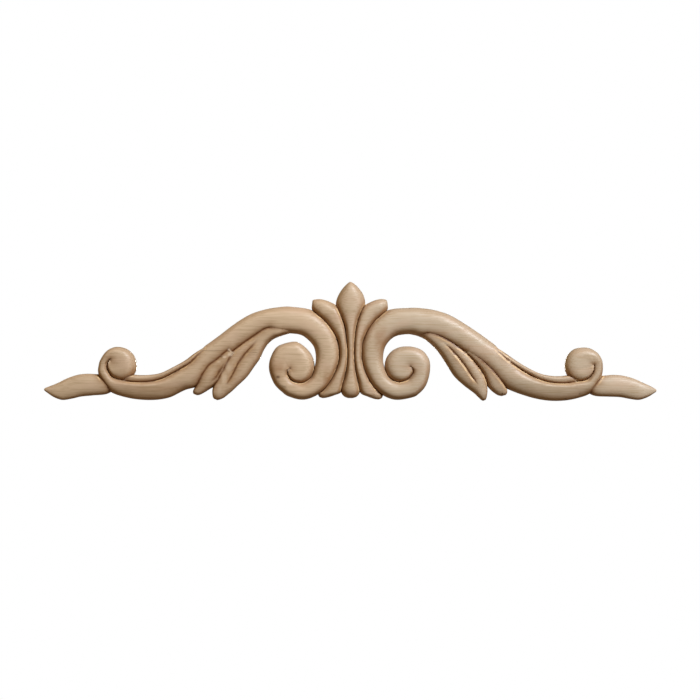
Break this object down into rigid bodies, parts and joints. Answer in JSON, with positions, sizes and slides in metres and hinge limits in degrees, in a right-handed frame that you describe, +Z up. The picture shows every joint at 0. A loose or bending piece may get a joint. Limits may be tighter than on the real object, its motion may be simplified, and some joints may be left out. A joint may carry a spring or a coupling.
{
  "type": "wood applique",
  "caption": "Carved wooden applique with scrolls, leaves and a central bud between petals, flat on the back for fixing to furniture.",
  "frame": {"origin": "on the flat back, at the middle of the length and height, behind the waist of the central stem", "axes": "+X along the ornament to its right end, +Z up to the bud's tip, +Y out of the flat back; the carving faces -Y"},
  "size_m": [0.4573, 0.0127, 0.0888],
  "materials": {
    "carved_wood": "hand-carved hardwood, glazed and oiled to a satin sheen"
  },
  "bodies": {
    "root": {"carved_applique": "carved_wood"}
  },
  "joints": []
}
